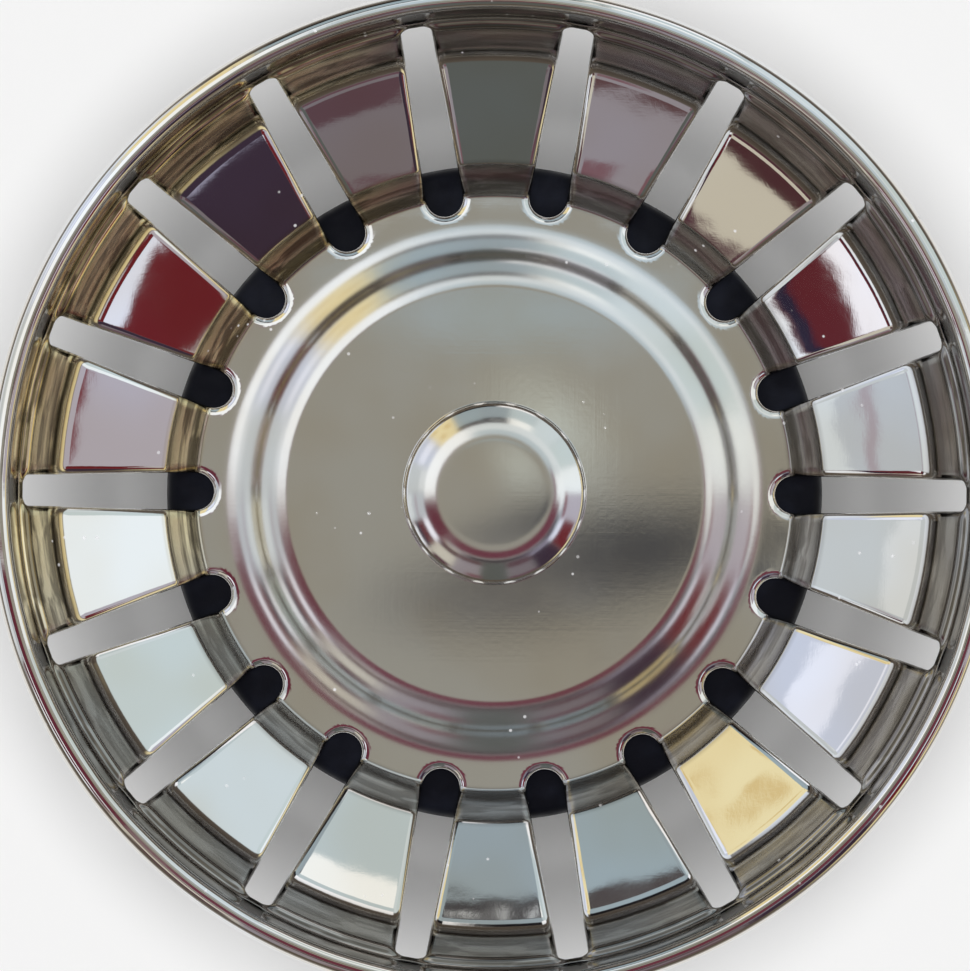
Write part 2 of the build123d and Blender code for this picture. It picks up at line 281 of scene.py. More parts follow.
# %% Tent walls
wall_colours = {
    10: (226, 232, 234), 30: (188, 200, 201), 50: (196, 206, 209), 70: (178, 190, 193),
    90: (142, 154, 160), 110: (146, 160, 166), 130: (224, 210, 165), 150: (190, 196, 212),
    170: (186, 191, 193), 190: (178, 184, 191), 210: (88, 36, 42), 230: (188, 183, 170),
    250: (136, 129, 134), 270: (84, 87, 84), 290: (112, 104, 108), 310: (54, 42, 54),
    330: (98, 33, 38), 350: (168, 163, 173),
}
wall_details = [
    ((181, 199), (28, 40), (202, 209, 213)), ((182, 198), (44, 47), (160, 152, 160)),
    ((200, 220), (50, 62), (236, 236, 246)), ((200, 220), (38, 41.5), (40, 36, 54)),
    ((202, 218), (26, 37), (222, 226, 232)), ((220, 240), (52, 58), (70, 42, 46)),
    ((224, 238), (26, 38), (74, 44, 54)), ((240, 260), (53, 58), (84, 60, 62)),
    ((251, 261), (28, 39), (112, 82, 88)), ((280, 300), (50, 57), (84, 62, 68)),
    ((280, 300), (28, 36), (92, 66, 74)), ((300, 320), (55, 62), (136, 132, 148)),
    ((320, 340), (52, 62), (214, 218, 232)),
    ((329, 340), (28, 35.5), (176, 172, 176)), ((340, 360), (54, 58), (110, 52, 60)),
    ((60, 80), (49.5, 62), (236, 238, 236)), ((80, 100), (50.5, 61), (64, 62, 64)),
    ((86, 88), (53.5, 55), (214, 218, 220)), ((91, 93), (52.5, 54), (214, 218, 220)),
    ((100, 120), (52.5, 62), (72, 66, 66)), ((124, 127), (39, 45), (198, 170, 112)),
    ((131, 134), (47, 53), (198, 170, 112)), ((134, 137), (35, 40), (198, 170, 112)),
    ((141, 159), (41, 50), (222, 226, 240)), ((161, 179), (50, 58), (206, 210, 212)),
]
ring((-12, 95), (150, 150, 146), soft=4)
for azimuth, colour in wall_colours.items():
    patch((azimuth - 10, azimuth + 10), (20, 62), colour, soft=(3, 4))
for azimuths, elevations, colour in wall_details:
    patch(azimuths, elevations, colour)
ring((-12, 26.5), (84, 76, 68), soft=5)
ring((-12, 6), (150, 146, 140), soft=6)
patch((62, 88), (19, 33), (236, 236, 238), soft=(3, 3))
patch((128, 200), (15, 30), (208, 213, 220), soft=(8, 4))
patch((88, 118), (20, 31), (28, 26, 28), soft=(3, 3))
patch((312, 20), (11, 24), (216, 202, 160), soft=(20, 5))
print("walls:", len(wall_colours), "details:", len(wall_details))

# %% Tent top
high_patches = [
    ((352, 20), (58, 70), (230, 235, 236)), ((20, 115), (60, 77), (176, 188, 194)),
    ((20, 115), (58, 67), (206, 213, 216)), ((112, 186), (58, 75.5), (238, 241, 243)),
    ((186, 226), (57, 77), (92, 42, 54)), ((226, 250), (60, 77), (150, 142, 142)),
    ((248, 294), (58, 62), (92, 88, 86)), ((246, 300), (59, 62), (40, 34, 40)),
    ((292, 332), (58, 62), (76, 66, 80)), ((303, 318), (60, 64), (222, 221, 230)),
    ((330, 352), (58, 65), (152, 160, 168)), ((300, 345), (60.5, 63.5), (44, 38, 44)),
    ((226, 352), (64, 75), (98, 50, 62)), ((345, 360), (60, 64), (224, 227, 230)),
    ((350, 22), (69.5, 72), (112, 72, 84)), ((125, 190), (74, 77), (122, 90, 110)),
]
for azimuths, elevations, colour in high_patches:
    patch(azimuths, elevations, colour, soft=(14, 2.5))
ring((74.5, 95), (140, 137, 127), soft=5)
ceiling_patch(1.5, 15.0, 20, 5.0, 0, (150, 161, 164), 0.9)
ceiling_patch(4.4, 5.2, 8.5, 5.5, -40, (184, 190, 184), 0.9)
ceiling_patch(10.8, -5.0, 22, 7, 10, (52, 54, 60), 0.7)
ceiling_patch(0.5, -8.4, 17, 6, 4, (92, 90, 88), 0.8)
print("high patches:", len(high_patches))

# %% Tent cloth
tent_points = (tent_way * tent_radius).reshape(-1, 3).tolist()
tent_points.append((0, 0, tent_radius))
turns, rises = tent_elevation.shape
tent_faces = []
for i in range(turns):
    for j in range(rises):
        here, there = i * rises + j, (i + 1) % turns * rises + j
        if j == rises - 1:
            tent_faces.append((here, len(tent_points) - 1, there))
        else:
            tent_faces.append((here, here + 1, there + 1, there))
tent_mesh = bpy.data.meshes.new("painted_tent")
tent_mesh.from_pydata(tent_points, [], tent_faces)
tent_mesh.shade_smooth()
paint_layer = tent_mesh.color_attributes.new("tent_paint", "FLOAT_COLOR", "POINT")
top_colour = tent_colour[:, -1].mean(axis=0, keepdims=True)
point_colours = np.concatenate([tent_colour.reshape(-1, 3), top_colour])
point_colours = np.concatenate([point_colours, np.ones((len(point_colours), 1))], axis=1)
paint_layer.data.foreach_set("color", point_colours.astype(np.float32).ravel())

tent_paint = plain_material("tent_paint", (0, 0, 0, 1), 1.0)
reader = tent_paint.node_tree.nodes.new("ShaderNodeAttribute")
reader.attribute_name = "tent_paint"
tent_shader = tent_paint.node_tree.nodes["Principled BSDF"]
tent_paint.node_tree.links.new(reader.outputs["Color"], tent_shader.inputs["Emission Color"])
tent_paint.cycles.emission_sampling = "NONE"
tent_mesh.materials.append(tent_paint)
tent = add_object("painted_tent", tent_mesh)
tent.location.z = rim_z * mm
for kind in ("camera", "diffuse", "shadow", "transmission", "volume_scatter"):
    setattr(tent, "visible_" + kind, False)
print("tent faces:", len(tent_mesh.polygons))

# %% [markdown]
# ## Lines with rounded corners
#
# Pressed and turned pieces are all made from the same kind of line: straight runs with a
# bend of a known radius at each corner. One helper draws such a line and notes its heading
# at every point, because a mirror finish needs exact normals. A second one closes the line
# into an outline, and a third turns an outline about the stem. The last one fits a piece into
# the frame: the body it moves with and the node it stands for.

# %% Lines, outlines and the lathe
def bent_line(corners, bends, step_degrees=9):
    """(radius, height, heading) along a line of corners, each rounded by its bend."""
    headings = [math.atan2(b[1] - a[1], b[0] - a[0]) for a, b in zip(corners, corners[1:])]
    line = [(*corners[0], headings[0])]
    for corner, bend, heading, after in zip(corners[1:-1], bends, headings, headings[1:]):
        turn = (after - heading + math.pi) % math.tau - math.pi
        if bend == 0:
            line.append((*corner, heading))
            continue
        side = math.copysign(1, turn)
        reach = bend * math.tan(abs(turn) / 2)
        centre_r = corner[0] - reach * math.cos(heading) - side * bend * math.sin(heading)
        centre_z = corner[1] - reach * math.sin(heading) + side * bend * math.cos(heading)
        steps = max(2, round(abs(math.degrees(turn)) / step_degrees))
        for i in range(steps + 1):
            way = heading + turn * i / steps
            r = centre_r + side * bend * math.sin(way)
            z = centre_z - side * bend * math.cos(way)
            line.append((r, z, way))
    line.append((*corners[-1], headings[-1]))
    return line


def outline(corners, bends):
    """A closed outline of (radius, height) points, each corner rounded by its bend."""
    first, last = corners[0], corners[-1]
    middle = ((first[0] + last[0]) / 2, (first[1] + last[1]) / 2)
    return [(r, z) for r, z, _ in bent_line([middle, *corners, middle], bends)][:-1]


def finish_mesh(name, shape, sharp_degrees=28):
    """Makes an object of a bmesh: smooth, with true creases and flat faces kept flat."""
    bmesh.ops.recalc_face_normals(shape, faces=shape.faces)
    mesh = bpy.data.meshes.new(name)
    shape.to_mesh(mesh)
    shape.free()
    mesh.shade_smooth()
    mesh.set_sharp_from_angle(angle=math.radians(sharp_degrees))
    made = add_object(name, mesh)
    weighted = made.modifiers.new("flat_faces_stay_flat", "WEIGHTED_NORMAL")
    weighted.keep_sharp = True
    return made


def skin_rings(shape, rings):
    """Faces between each ring of points and the next, and from the last to the first."""
    for ring, after in zip(rings, rings[1:] + rings[:1]):
        for i in range(len(ring)):
            following = (i + 1) % len(ring)
            corners = [ring[i], ring[following], after[following], after[i]]
            corners = list(dict.fromkeys(corners))
            if len(corners) > 2:
                shape.faces.new(corners)


def lathe(name, closed_outline, sides=160):
    """Turns a closed outline, in millimetres, about the stem."""
    shape = bmesh.new()
    rings = []
    for radius, height in closed_outline:
        if radius == 0:
            rings.append([shape.verts.new((0, 0, height * mm))] * sides)
            continue
        ring = []
        for i in range(sides):
            angle = math.tau * i / sides
            x, y = radius * mm * math.cos(angle), radius * mm * math.sin(angle)
            ring.append(shape.verts.new((x, y, height * mm)))
        rings.append(ring)
    skin_rings(shape, rings)
    return finish_mesh(name, shape)


def put(piece, body, node):
    """Lets a piece ride on a body and stand for a node."""
    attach(piece, body)
    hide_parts(node)
    return piece


print("a 90 degree bend takes", len(bent_line([(0, 0), (1, 0), (1, 1)], [0.5])) - 2, "points")

# %% [markdown]
# ## The basket's sheet
#
# The bowl is pressed from one sheet half a millimetre thick. From the middle out it has a
# raised plateau, a flank, a floor ring, a steep lower band, the broad sloping panels, a
# steep upper band, a narrow ledge, the rim wall and the rolled lip. The upper side of the
# sheet is one bent line. The panels are drawn with a slight crown, because a pressed cone
# is never quite flat, and the crown is what bends its reflections.

# %% Basket line
sheet = 0.5
floor_z = rim_z - 16.0
plateau_z = floor_z + 1.4
bush_hole = 4.05
sheet_corners = [
    (bush_hole, plateau_z),
    (rim_radius - 21.4, plateau_z),
    (rim_radius - 18.87, floor_z),
    (rim_radius - 15.15, floor_z),
    (rim_radius - 12.85, floor_z + 3.0),
    (rim_radius - 4.35, floor_z + 7.4),
    (rim_radius - 2.65, floor_z + 10.9),
    (rim_radius - 1.85, floor_z + 11.1),
    (rim_radius - 1.75, rim_z),
    (rim_radius, rim_z),
    (rim_radius, rim_z - 2.22),
]
sheet_bends = [5.5, 5.5, 0.5, 0.9, 3.4, 0.7, 0.45, 0.82, 0.82]
panel_crown = 0.12
crown_start = sheet_corners[4][0] + 0.17
crown_end = sheet_corners[5][0] - 1.0


def crowned(point):
    """Lifts a point of the panels by the crown, and turns its heading to match."""
    radius, height, heading = point
    if not crown_start < radius < crown_end:
        return point
    share = (radius - crown_start) / (crown_end - crown_start)
    lift = 4 * panel_crown * share * (1 - share)
    slope = 4 * panel_crown * (1 - 2 * share) / (crown_end - crown_start)
    return radius, height + lift, heading + math.atan(slope) * math.cos(heading) ** 2


sheet_line = bent_line(sheet_corners, sheet_bends)
print("points along the sheet:", len(sheet_line))

# %% [markdown]
# ## The slots
#
# Eighteen tapered slots run from the floor ring up to the ledge. Their outline is a round
# inner end, two straight sides and a flat outer end with small corners. One function gives
# the distance from that outline, and everything else follows from it: where the mesh stops,
# and how the punched edge rolls over. The roll is what catches the thin bright line that
# runs round every slot.

# %% Slot outline
slot_count = 18
slot_tip = sheet_corners[3][0] - 1.4
slot_end = sheet_corners[6][0] + 0.4
tip_round = 3.04 / 2
end_half = 2.44 / 2
end_corner = 0.7
roll_width = 0.72
roll_depth = 0.3
droop_width = 2.4
droop_depth = 0.045

tip_centre = np.array([slot_tip + tip_round, 0.0])
corner_centre = np.array([slot_end - end_corner, end_half - end_corner])
along = corner_centre - tip_centre
reach = np.hypot(*along)
along = along / reach
lean = (tip_round - end_corner) / reach
side_normal = lean * along + math.sqrt(1 - lean**2) * np.array([-along[1], along[0]])
side_start = tip_centre + tip_round * side_normal
side_end = corner_centre + end_corner * side_normal
side_way = (side_end - side_start) / np.hypot(*(side_end - side_start))


def slot_gap(x, y):
    """Distance outside the slot's outline, and the way it grows, over its upper half."""
    point = np.array([x, y])
    if (point - side_start) @ side_way < 0:
        away = point - tip_centre
        gap = np.hypot(*away) - tip_round
    elif (point - side_end) @ side_way <= 0:
        away = side_normal
        gap = (point - side_start) @ side_normal
    elif y > corner_centre[1]:
        away = point - corner_centre
        gap = np.hypot(*away) - end_corner
    else:
        away = np.array([1.0, 0.0])
        gap = x - slot_end
    return gap, away / max(np.hypot(*away), 1e-9)


tip_flat = 0.2
first_row = math.hypot(tip_centre[0] - math.sqrt(tip_round**2 - tip_flat**2), tip_flat)
last_row = math.hypot(slot_end, corner_centre[1])


def slot_half_angle(radius):
    """Half the angle that the slot, or its row of spare columns, takes up at a radius."""
    half_pitch = math.pi / slot_count
    if radius <= first_row:
        width = tip_flat + 0.5 * (first_row - radius)
        return min(width / radius, 0.3 * half_pitch)
    if radius >= last_row:
        return (corner_centre[1] + min(radius - last_row, 0.5)) / radius
    low, high = 0.0, half_pitch
    for _ in range(40):
        middle = (low + high) / 2
        gap, _ = slot_gap(radius * math.cos(middle), radius * math.sin(middle))
        low, high = (middle, high) if gap < 0 else (low, middle)
    return high


print("slot from", round(slot_tip, 2), "to", round(slot_end, 2), "mm")

# %% [markdown]
# ## The basket's mesh
#
# The mesh is made of rows at one radius each, so that every bend of the sheet is a clean
# band of faces, with more rows where the slots' ends are round. The columns gather at the
# slots' edges. Each point knows its exact normal, which goes to the mesh as a custom normal:
# a mirror would show the smallest mistake there.

# %% Basket mesh
def with_rows(line, radii, longest=0.95):
    """Adds rows at the given radii, and more wherever two rows are far apart."""
    line = list(line)
    for radius in radii:
        for i, (before, after) in enumerate(zip(line, line[1:])):
            if before[0] + 0.015 < radius < after[0] - 0.015:
                share = (radius - before[0]) / (after[0] - before[0])
                line.insert(i + 1, tuple(a + share * (b - a) for a, b in zip(before, after)))
                break
    full = [line[0]]
    for before, after in zip(line, line[1:]):
        length = math.hypot(after[0] - before[0], after[1] - before[1])
        pieces = max(1, math.ceil(length / longest))
        for i in range(1, pieces + 1):
            full.append(tuple(a + i / pieces * (b - a) for a, b in zip(before, after)))
    return full


def round_end_rows(start, end, count):
    """Radii that crowd towards the start, as the outline there is a quarter round."""
    shares = [1 - math.cos(math.pi / 2 * i / count) for i in range(count + 1)]
    return [start + (end - start) * share for share in shares]


roll_rows = [first_row - roll_width * share for share in (1.0, 0.75, 0.5, 0.3, 0.15, 0.05)]
tip_rows = round_end_rows(first_row, first_row + tip_round, 9)
end_rows = round_end_rows(last_row, last_row - end_corner, 6)
rows = with_rows(sheet_line, [*roll_rows, *tip_rows, *end_rows])
rows = [crowned(point) for point in rows]

spare_columns = 2
side_columns = 10
crowding = 1.9
columns = spare_columns + side_columns


def column_angles(radius):
    """The angles of one half slot's columns, from its middle to halfway to the next slot."""
    edge = slot_half_angle(radius)
    angles = [edge * i / spare_columns for i in range(spare_columns)]
    for i in range(side_columns + 1):
        share = (i / side_columns) ** crowding
        angles.append(edge + (math.pi / slot_count - edge) * share)
    return angles


def roll(gap, radius):
    """Drop of the punched edge at a distance from it, and how far its normal leans over."""
    share = max(0.0, 1 - max(gap, 0.0) / roll_width)
    root = math.sqrt(max(0.0, 1 - share**2))
    lean_over = math.atan2(share / roll_width, root / roll_depth + 1e-9)
    on_panel = min(1.0, max(0.0, (radius - sheet_corners[4][0]) / droop_width))
    droop = max(0.0, 1 - max(gap, 0.0) / droop_width)
    drop = roll_depth * (1 - root) + on_panel * droop_depth * droop**2
    return drop, lean_over + math.atan(2 * on_panel * droop_depth * droop / droop_width)


def sheet_point(radius, height, heading, angle):
    """Upper and lower point, and the normals of skin, edge and sheet, at one place."""
    cos, sin = math.cos(angle), math.sin(angle)
    normal = np.array([-math.sin(heading) * cos, -math.sin(heading) * sin, math.cos(heading)])
    centre = np.array([radius * cos, radius * sin, height])
    gap, away = slot_gap(centre[0], abs(centre[1]))
    drop, lean_over = roll(gap, radius)
    towards = -np.array([away[0], away[1], 0.0])
    towards = towards - (towards @ normal) * normal
    towards = towards / max(np.linalg.norm(towards), 1e-9)
    upper_normal = math.cos(lean_over) * normal + math.sin(lean_over) * towards
    return centre - drop * normal, centre - sheet * normal, upper_normal, towards, normal


def turned_copy(points, angle, mirrored):
    """Points of one half slot, mirrored if asked, turned to their own slot."""
    x, y, z = points[..., 0], points[..., 1] * (-1 if mirrored else 1), points[..., 2]
    cos, sin = math.cos(angle), math.sin(angle)
    return np.stack([x * cos - y * sin, x * sin + y * cos, z], axis=-1)


half_slot = np.array([
    [sheet_point(*row, angle) for angle in column_angles(row[0])] for row in rows
])

rings = []
for slot_number in range(slot_count):
    angle = math.tau * slot_number / slot_count
    left = turned_copy(half_slot[:, :0:-1], angle, True)
    right = turned_copy(half_slot[:, :-1], angle, False)
    rings.append(np.concatenate([left, right], axis=1))
rings = np.concatenate(rings, axis=1)
upper, lower, upper_normals, edge_normals, sheet_normals = np.moveaxis(rings, 2, 0)
print("rows", len(rows), "columns", rings.shape[1])

# %% Basket faces
row_count, column_count = upper.shape[:2]
radii = [row[0] for row in rows]
is_open = [first_row - 0.01 <= radius <= last_row + 0.01 for radius in radii]
number = np.arange(row_count * column_count).reshape(row_count, column_count)
lower_number = number + number.size
faces, normals = [], []


def add_face(corners, directions):
    """One face, with a normal for each of its corners."""
    faces.append([int(corner) for corner in corners])
    normals.extend(directions)


def add_wall(a, b, directions=None):
    """One face from the upper side to the lower side, of a slot's punched edge unless told."""
    directions = directions or [edge_normals[p] for p in (a, b, b, a)]
    add_face([number[a], number[b], lower_number[b], lower_number[a]], directions)


for i in range(row_count - 1):
    for j in range(column_count):
        k = (j + 1) % column_count
        local = j % (2 * columns) - columns
        in_slot = is_open[i] and is_open[i + 1] and -spare_columns <= local < spare_columns
        if not in_slot:
            around = [(i, j), (i + 1, j), (i + 1, k), (i, k)]
            add_face([number[p] for p in around], [upper_normals[p] for p in around])
            around.reverse()
            add_face([lower_number[p] for p in around], [-sheet_normals[p] for p in around])
        if is_open[i] and is_open[i + 1] and abs(local) == spare_columns:
            a, b = (i + 1, i) if local < 0 else (i, i + 1)
            add_wall((a, j), (b, j))

first_open = is_open.index(True)
last_open = row_count - 1 - is_open[::-1].index(True)
for j in range(column_count):
    k = (j + 1) % column_count
    local = j % (2 * columns) - columns
    if -spare_columns <= local < spare_columns:
        add_wall((first_open, j), (first_open, k))
        add_wall((last_open, k), (last_open, j))
    inward = upper[0, j] * [-1, -1, 0] / np.linalg.norm(upper[0, j][:2])
    add_wall((0, j), (0, k), [inward] * 4)
    add_wall((-1, k), (-1, j), [np.array([0.0, 0.0, -1.0])] * 4)

points = np.concatenate([upper.reshape(-1, 3), lower.reshape(-1, 3)]) * mm
used = np.unique(np.concatenate([np.array(face) for face in faces]))
new_number = np.full(len(points), -1)
new_number[used] = np.arange(len(used))
mesh = bpy.data.meshes.new("basket_shell")
mesh.from_pydata(points[used].tolist(), [], [[int(new_number[c]) for c in face] for face in faces])
mesh.shade_smooth()
mesh.normals_split_custom_set([tuple(normal) for normal in normals])
is_underside = np.array(normals)[:, 2].reshape(-1, 4).sum(axis=1) < -0.2
basket = put(add_object("basket_shell", mesh), "basket", "basket")
print("basket faces:", len(mesh.polygons))

# %% [markdown]
# ## The knob
#
# The knob is a thin cap, pressed with a low dome and crimped under at its edge. Its middle
# is nearly flat and its shoulder turns down quickly, so it mirrors the ceiling in the middle
# and the whole room in a ring round it. The dome is three arcs, turned from a fine outline.

# %% Knob cap
cap_low, cap_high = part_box("knob_cap")
knob_radius = cap_high.x / mm
crimp_z = cap_low.z / mm
knob_top = cap_high.z / mm
knob_sheet = 0.4
knob_round = 0.5
round_steps = 8
crimp_width = 0.9
crown_radius, crown_turn = 21 * knob_radius, 1.5
shoulder_radius, shoulder_turn = 0.96 * knob_radius, 23.5


def arc_down(start, turned, turn, radius, steps):
    """Points of an arc that bends down from a place on the dome."""
    begin, end = math.radians(turned), math.radians(turned + turn)
    arc = []
    for i in range(1, steps + 1):
        way = begin + (end - begin) * i / steps
        r = start[0] + radius * (math.sin(way) - math.sin(begin))
        z = start[1] - radius * (math.cos(begin) - math.cos(way))
        arc.append((r, z))
    return arc


def cap_skin(inset, steps):
    """Half the cap's outline at a depth below its skin, from the top to the crimp."""
    skin = [(0, knob_top - inset)]
    skin += arc_down(skin[-1], 0, crown_turn, crown_radius - inset, steps)
    skin += arc_down(skin[-1], crown_turn, shoulder_turn, shoulder_radius - inset, steps)
    turned = crown_turn + shoulder_turn
    edge_radius = (knob_radius - inset - skin[-1][0]) / (1 - math.sin(math.radians(turned)))
    skin += arc_down(skin[-1], turned, 90 - turned, edge_radius, steps)
    round_radius = knob_round - inset
    round_x, round_z = knob_radius - knob_round, crimp_z + knob_round
    for i in range(round_steps + 1):
        way = -math.pi / 2 * i / round_steps
        out, down = round_radius * math.cos(way), round_radius * math.sin(way)
        skin.append((round_x + out, round_z + down))
    skin.append((knob_radius - knob_sheet - crimp_width, crimp_z + inset))
    return skin


knob = lathe("knob_dome", cap_skin(0, 14) + cap_skin(knob_sheet, 6)[::-1], sides=192)
knob = put(knob, "plug", "knob_cap")
print("knob", round(2 * knob_radius, 2), "mm across, crown radius", round(crown_radius, 1))

# %% [markdown]
# ## Turned pieces under the basket
#
# Stem, bush and plates come off a lathe or out of a die, so each is one closed outline with
# its small edge rounds. They take their sizes from the frame's boxes.

# %% Stem, bush and plates
def span(node):
    """The lowest height, the highest height and the radius of a round node, in millimetres."""
    low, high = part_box(node)
    return low.z / mm, high.z / mm, high.x / mm


stem_low, stem_high, collar_radius = span("stem")
stem_radius = 2.5
stem_chamfer = 0.4
seal_low, seal_high, seal_radius = span("seal")
top_low, top_high, top_radius = span("upper_plate")
bush_low, bush_high, flange_radius = span("guide_bush")
collar_z = top_high
collar_top = collar_z + 0.8

stem = put(
    lathe("stem_rod", outline(
        [
            (0, stem_low), (stem_radius - stem_chamfer, stem_low),
            (stem_radius, stem_low + stem_chamfer), (stem_radius, collar_z),
            (collar_radius, collar_z), (collar_radius, collar_top), (stem_radius, collar_top),
            (stem_radius, stem_high - stem_chamfer), (stem_radius - stem_chamfer, stem_high),
            (0, stem_high),
        ],
        [0, 0.1, 0.1, 0, 0.15, 0.15, 0.15, 0.1, 0.1, 0],
    ), sides=96),
    "plug", "stem",
)

bore = stem_radius + 0.02
plates = []
for name, node, bends in (
    ("seal_top_plate", "upper_plate", [0, 0.1, 0.35, 0.1]),
    ("seal_back_plate", "lower_plate", [0.1, 0.35, 0.1, 0]),
):
    low, high, radius = span(node)
    corners = [(bore, low), (radius, low), (radius, high), (bore, high)]
    plates.append(put(lathe(name, outline(corners, bends)), "plug", node))
print("plates:", [plate.name for plate in plates], "seal", round(seal_radius, 1))

# %% [markdown]
# ## The rubber seal
#
# The seal is a moulded disc with a recess on top, where the upper plate lies. Its upper edge
# is rounded and its lower edge is bevelled where it meets the drain. A mould leaves a
# hair-thin line round its outside, and that line is drawn, as black rubber shows little else.

# %% Seal
bevel = 1.6
mould_line = 0.08
side_radius = seal_radius - mould_line
mould_z = (seal_low + bevel + seal_high) / 2
recess_radius = top_radius + 0.3
seal = put(
    lathe("seal_disc", outline(
        [
            (bore, seal_low), (side_radius - bevel, seal_low), (side_radius, seal_low + bevel),
            (side_radius, mould_z - mould_line), (seal_radius, mould_z),
            (side_radius, mould_z + mould_line), (side_radius, seal_high),
            (recess_radius, seal_high), (recess_radius, top_low), (bore, top_low),
        ],
        [0, 0.25, 0.2, 0.03, 0.03, 0.03, 0.9, 0.3, 0, 0],
    ), sides=192),
    "plug", "seal",
)
print("seal thickness", round(seal_high - seal_low, 2))

# %% [markdown]
# ## The guide bush
#
# A black nylon bush lines the hole in the plateau. Its flange lies on the steel, and a groove
# inside holds the rubber ring that grips the stem.

# %% Guide bush
bush_bore = stem_radius + 0.05
shank_radius = bush_hole - 0.05
groove_z = (bush_low + plateau_z) / 2
groove_half = 0.5
groove_radius = bush_bore + 0.95
bush = put(
    lathe("guide_bush_body", outline(
        [
            (bush_bore, bush_low), (shank_radius, bush_low), (shank_radius, plateau_z),
            (flange_radius, plateau_z), (flange_radius, bush_high), (bush_bore, bush_high),
            (bush_bore, groove_z + groove_half), (groove_radius, groove_z + groove_half),
            (groove_radius, groove_z - groove_half), (bush_bore, groove_z - groove_half),
        ],
        [0.1, 0.15, 0, 0.15, 0.3, 0.2, 0, 0, 0, 0],
    ), sides=96),
    "basket", "guide_bush",
)
print("bush flange", round(2 * flange_radius, 2), "mm across")

# %% [markdown]
# ## Nuts
#
# A hexagon nut is a prism whose corners are turned off by a cone. Where the cone meets the
# flats it leaves the curved line that every nut shows. Both nuts come from one function.

# %% Nuts
nut_chamfer = 0.45
bore_chamfer = 0.25
nut_sides = 6
steps_a_side = 14


def hexagon_nut(name, node, bore_radius):
    """A nut in the place of its node, with its flats along X."""
    low, high, corner = span(node)
    across = corner * math.cos(math.pi / nut_sides)
    shape = bmesh.new()
    rings = [[] for _ in range(8)]
    for i in range(nut_sides * steps_a_side):
        angle = math.tau * i / (nut_sides * steps_a_side)
        from_flat = (angle + math.pi / nut_sides) % (math.tau / nut_sides) - math.pi / nut_sides
        edge = across / math.cos(math.pi / nut_sides - abs(from_flat))
        edge = min(edge, corner)
        face_edge = min(edge, corner - nut_chamfer)
        cut = max(0.0, edge - (corner - nut_chamfer)) / 2
        places = [
            (bore_radius, low + bore_chamfer), (bore_radius + bore_chamfer, low), (face_edge, low),
            (edge, low + cut), (edge, high - cut), (face_edge, high),
            (bore_radius + bore_chamfer, high), (bore_radius, high - bore_chamfer),
        ]
        for ring, (radius, height) in zip(rings, places):
            x, y = radius * math.cos(angle), radius * math.sin(angle)
            ring.append(shape.verts.new((x * mm, y * mm, height * mm)))
    skin_rings(shape, rings)
    bmesh.ops.remove_doubles(shape, verts=shape.verts, dist=0.001 * mm)
    return finish_mesh(name, shape, sharp_degrees=20)


jam_nut = put(hexagon_nut("jam_nut_body", "jam_nut", bore), "plug", "jam_nut")
bush_nut = put(
    hexagon_nut("bush_nut_body", "bush_nut", shank_radius + 0.02), "basket", "bush_nut"
)
print("nuts:", jam_nut.name, bush_nut.name)

# %% [markdown]
# ## Materials: a small kit
#
# All finishes are made from nodes, with the strainer's own coordinates, so they need no
# pictures.

